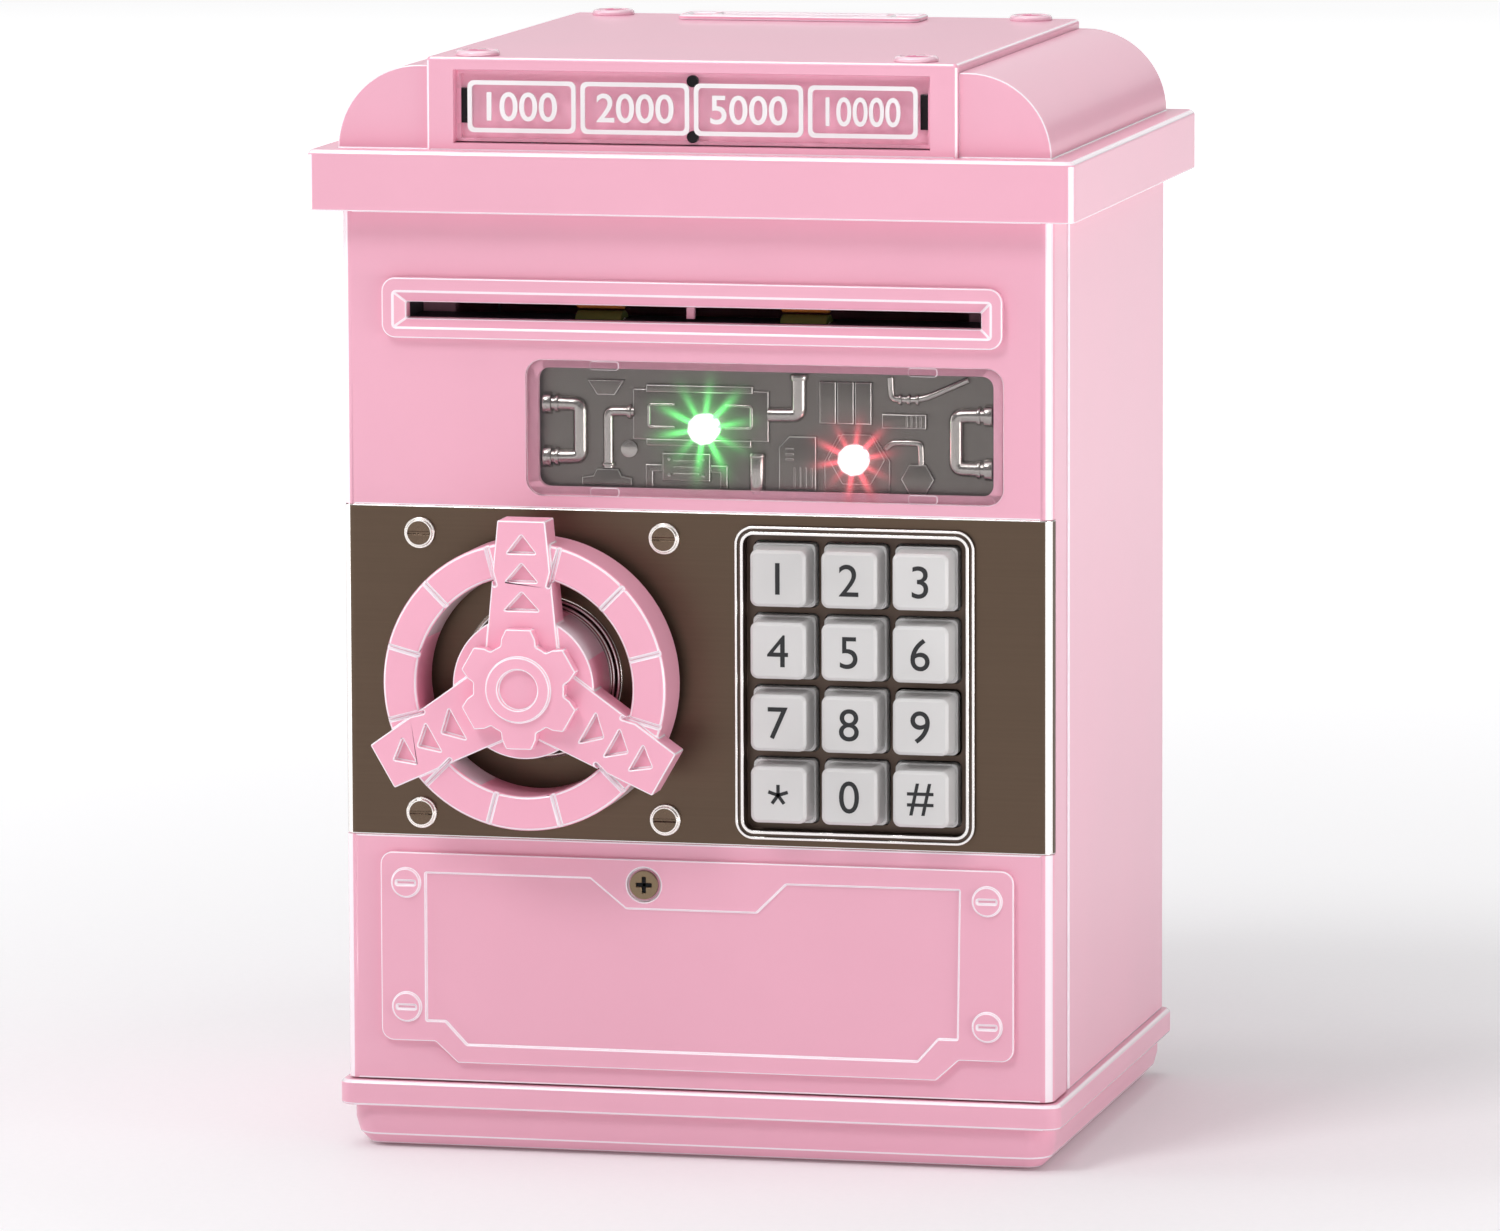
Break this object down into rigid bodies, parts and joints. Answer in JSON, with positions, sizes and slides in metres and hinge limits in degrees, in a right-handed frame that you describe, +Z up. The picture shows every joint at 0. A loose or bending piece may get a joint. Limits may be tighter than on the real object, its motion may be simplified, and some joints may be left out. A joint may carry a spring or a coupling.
{
  "type": "toy safe coin bank",
  "caption": "Pink toy safe with a hinged keypad door, three-spoke hand wheel, note slot, picture window with lamps, coin slot in the crown and a screwed battery cover.",
  "frame": {"origin": "middle of the flat underside of the base", "axes": "+X to the right seen from the front, +Y to the back, +Z up"},
  "size_m": [0.1338, 0.124, 0.1911],
  "materials": {
    "pink_shell": "satin gloss moulded pink ABS",
    "pink_wheel": "satin moulded pink ABS with soft edges",
    "banner_floor": "deeper pink moulding behind the clear plate",
    "printed_clear": "clear plate with white printed frames and numbers",
    "clear_cover": "clear polished plastic",
    "relief_silver": "satin silver paint over moulded relief",
    "green_lamp": "lit green lamp",
    "red_lamp": "lit red lamp",
    "band_metal": "warm grey satin metallised sheet with bright edges",
    "plated": "plated trim with machined slots",
    "key_white": "translucent white keys with black printed digits",
    "membrane_rubber": "silicone membrane",
    "board_green": "solder-masked circuit board",
    "dark_plastic": "fine textured dark moulding",
    "cell_jacket": "shrink-wrapped cell jackets",
    "zinc_steel": "zinc plated steel",
    "brass_screw": "brass-coloured cross-head screw",
    "coil_wrap": "copper winding in a steel frame",
    "gear_nylon": "natural nylon",
    "tyre_rubber": "olive rubber sleeves",
    "orange_roller": "orange moulded roller"
  },
  "bodies": {
    "safe_body": {"base": "pink_shell", "base_screws": "zinc_steel", "cabinet": "pink_shell", "strike_plate": "zinc_steel", "lid_shell": "pink_shell", "lid_screws": "zinc_steel", "crown_panel": "pink_shell", "crown_studs": "pink_shell", "coin_slot_frame": "pink_shell", "banner_backing": "banner_floor", "banner_pane": "printed_clear"},
    "door": {"door_shell": "pink_shell", "hinge_pins": "zinc_steel", "door_back_cover": "pink_shell", "back_cover_screws": "zinc_steel", "bill_slot_bezel": "pink_shell", "window_cover": "clear_cover", "relief_panel": "relief_silver", "led_green": "green_lamp", "led_red": "red_lamp", "led_board": "board_green", "front_band": "band_metal", "band_bolts": "plated", "wheel_escutcheon": "plated", "keypad_bezel": "band_metal", "key_membrane": "membrane_rubber", "control_board": "board_green", "battery_box": "dark_plastic", "battery_cells": "cell_jacket", "battery_contacts": "zinc_steel", "battery_cover": "pink_shell", "battery_cover_screw": "brass_screw", "feeder_frame": "dark_plastic", "feed_motor": "zinc_steel", "lock_solenoid": "coil_wrap", "plunger_spring": "zinc_steel"},
    "wheel": {"hand_wheel": "pink_wheel", "wheel_cap": "pink_wheel", "wheel_shaft": "zinc_steel", "latch_cam": "zinc_steel", "cam_screw": "zinc_steel"},
    "motor_pinion": {"motor_pinion": "gear_nylon"},
    "reduction_gear": {"reduction_gear": "gear_nylon"},
    "drive_roller": {"drive_roller": "gear_nylon", "drive_tyres": "tyre_rubber"},
    "pinch_roller": {"pinch_roller": "orange_roller"},
    "lock_plunger": {"lock_plunger": "zinc_steel"},
    "key_1": {"key_1": "key_white"},
    "key_2": {"key_2": "key_white"},
    "key_3": {"key_3": "key_white"},
    "key_4": {"key_4": "key_white"},
    "key_5": {"key_5": "key_white"},
    "key_6": {"key_6": "key_white"},
    "key_7": {"key_7": "key_white"},
    "key_8": {"key_8": "key_white"},
    "key_9": {"key_9": "key_white"},
    "key_star": {"key_star": "key_white"},
    "key_0": {"key_0": "key_white"},
    "key_hash": {"key_hash": "key_white"}
  },
  "joints": [
    {"name": "door_hinge", "type": "hinge", "parent": "safe_body", "child": "door", "pos_m": [0.0599, -0.0387, 0.09], "axis": [0, 0, 1], "range_deg": [0, 95]},
    {"name": "wheel_turn", "type": "hinge", "parent": "door", "child": "wheel", "pos_m": [-0.0269, -0.0506, 0.0835], "axis": [0, 1, 0], "range_deg": [0, 90]},
    {"name": "plunger_slide", "type": "slide", "parent": "door", "child": "lock_plunger", "axis": [-1, 0, 0], "range_m": [0, 0.003], "stiffness_N_per_m": 40, "deforming": ["plunger_spring"]},
    {"name": "roller_spin", "type": "hinge", "parent": "door", "child": "drive_roller", "pos_m": [0.054, -0.0432, 0.1421], "axis": [1, 0, 0], "continuous": true},
    {"name": "pinch_spin", "type": "hinge", "parent": "door", "child": "pinch_roller", "pos_m": [0, -0.0432, 0.149], "axis": [1, 0, 0], "continuous": true},
    {"name": "idler_spin", "type": "hinge", "parent": "door", "child": "reduction_gear", "pos_m": [0.054, -0.04261, 0.15033], "axis": [1, 0, 0], "continuous": true},
    {"name": "pinion_spin", "type": "hinge", "parent": "door", "child": "motor_pinion", "pos_m": [0.054, -0.0432, 0.1563], "axis": [1, 0, 0], "continuous": true},
    {"name": "key_1_press", "type": "slide", "parent": "door", "child": "key_1", "axis": [0, 1, 0], "range_m": [0, 0.0012], "stiffness_N_per_m": 150},
    {"name": "key_2_press", "type": "slide", "parent": "door", "child": "key_2", "axis": [0, 1, 0], "range_m": [0, 0.0012], "stiffness_N_per_m": 150},
    {"name": "key_3_press", "type": "slide", "parent": "door", "child": "key_3", "axis": [0, 1, 0], "range_m": [0, 0.0012], "stiffness_N_per_m": 150},
    {"name": "key_4_press", "type": "slide", "parent": "door", "child": "key_4", "axis": [0, 1, 0], "range_m": [0, 0.0012], "stiffness_N_per_m": 150},
    {"name": "key_5_press", "type": "slide", "parent": "door", "child": "key_5", "axis": [0, 1, 0], "range_m": [0, 0.0012], "stiffness_N_per_m": 150},
    {"name": "key_6_press", "type": "slide", "parent": "door", "child": "key_6", "axis": [0, 1, 0], "range_m": [0, 0.0012], "stiffness_N_per_m": 150},
    {"name": "key_7_press", "type": "slide", "parent": "door", "child": "key_7", "axis": [0, 1, 0], "range_m": [0, 0.0012], "stiffness_N_per_m": 150},
    {"name": "key_8_press", "type": "slide", "parent": "door", "child": "key_8", "axis": [0, 1, 0], "range_m": [0, 0.0012], "stiffness_N_per_m": 150},
    {"name": "key_9_press", "type": "slide", "parent": "door", "child": "key_9", "axis": [0, 1, 0], "range_m": [0, 0.0012], "stiffness_N_per_m": 150},
    {"name": "key_star_press", "type": "slide", "parent": "door", "child": "key_star", "axis": [0, 1, 0], "range_m": [0, 0.0012], "stiffness_N_per_m": 150},
    {"name": "key_0_press", "type": "slide", "parent": "door", "child": "key_0", "axis": [0, 1, 0], "range_m": [0, 0.0012], "stiffness_N_per_m": 150},
    {"name": "key_hash_press", "type": "slide", "parent": "door", "child": "key_hash", "axis": [0, 1, 0], "range_m": [0, 0.0012], "stiffness_N_per_m": 150}
  ],
  "couplings": [
    {"joint": "pinch_spin", "follows": "roller_spin", "ratio": -1.5385},
    {"joint": "idler_spin", "follows": "roller_spin", "ratio": -1.3571},
    {"joint": "pinion_spin", "follows": "roller_spin", "ratio": 1.9}
  ]
}
